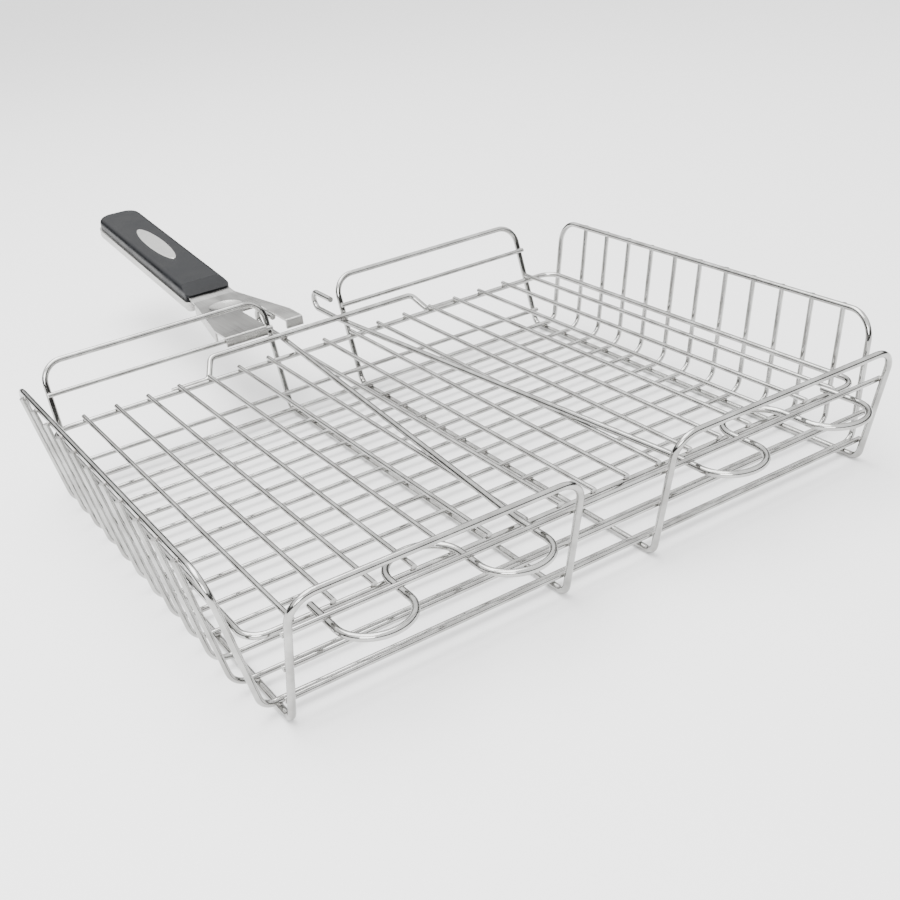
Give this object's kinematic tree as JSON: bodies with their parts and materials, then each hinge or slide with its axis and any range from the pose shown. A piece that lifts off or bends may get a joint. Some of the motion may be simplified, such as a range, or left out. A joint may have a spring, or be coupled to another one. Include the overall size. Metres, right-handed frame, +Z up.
{
  "type": "grill basket",
  "caption": "Deep rectangular wire grill basket with flared walls, a hinged wire lid held by looped clip wires, and a lift-off handle.",
  "frame": {"origin": "on the surface the basket stands on, under the middle of its floor", "axes": "+X to the right along the front panels, +Y to the handle side, +Z up"},
  "size_m": [0.4096, 0.6355, 0.0865],
  "materials": {
    "plated_wire": "bright plated steel wire",
    "satin_steel": "satin stainless sheet",
    "grip_resin": "matte black moulded resin",
    "badge_plate": "blank satin plate",
    "screw_steel": "machined steel"
  },
  "bodies": {
    "basket": {"back_rail_left": "plated_wire", "back_rail_low": "plated_wire", "back_rail_right": "plated_wire", "floor_wire_01": "plated_wire", "floor_wire_02": "plated_wire", "floor_wire_03": "plated_wire", "floor_wire_04": "plated_wire", "floor_wire_05": "plated_wire", "floor_wire_06": "plated_wire", "floor_wire_07": "plated_wire", "floor_wire_08": "plated_wire", "floor_wire_09": "plated_wire", "floor_wire_10": "plated_wire", "floor_wire_11": "plated_wire", "front_rail_high": "plated_wire", "front_rail_low": "plated_wire", "front_rail_mid": "plated_wire", "left_support_loop": "plated_wire", "right_support_loop": "plated_wire", "side_loop": "plated_wire"},
    "lid": {"left_clip_wire": "plated_wire", "lid_frame": "plated_wire", "lid_rear_bar": "plated_wire", "lid_wire_01": "plated_wire", "lid_wire_02": "plated_wire", "lid_wire_03": "plated_wire", "lid_wire_04": "plated_wire", "lid_wire_05": "plated_wire", "lid_wire_06": "plated_wire", "lid_wire_07": "plated_wire", "lid_wire_08": "plated_wire", "lid_wire_09": "plated_wire", "lid_wire_10": "plated_wire", "lid_wire_11": "plated_wire", "lid_wire_12": "plated_wire", "lid_wire_13": "plated_wire", "lid_wire_14": "plated_wire", "lid_wire_15": "plated_wire", "lid_wire_16": "plated_wire", "lid_wire_17": "plated_wire", "right_clip_wire": "plated_wire"},
    "handle": {"handle_badge": "badge_plate", "handle_bracket": "satin_steel", "handle_channel": "satin_steel", "handle_grip": "grip_resin", "handle_screws": "screw_steel"}
  },
  "joints": [
    {"name": "lid_hinge", "type": "hinge", "parent": "basket", "child": "lid", "pos_m": [0, -0.1612, 0.0485], "axis": [1, 0, 0], "range_deg": [0, 83]},
    {"name": "handle_release", "type": "slide", "parent": "basket", "child": "handle", "axis": [0, 0, 1], "range_m": [0, 0.0065]}
  ]
}
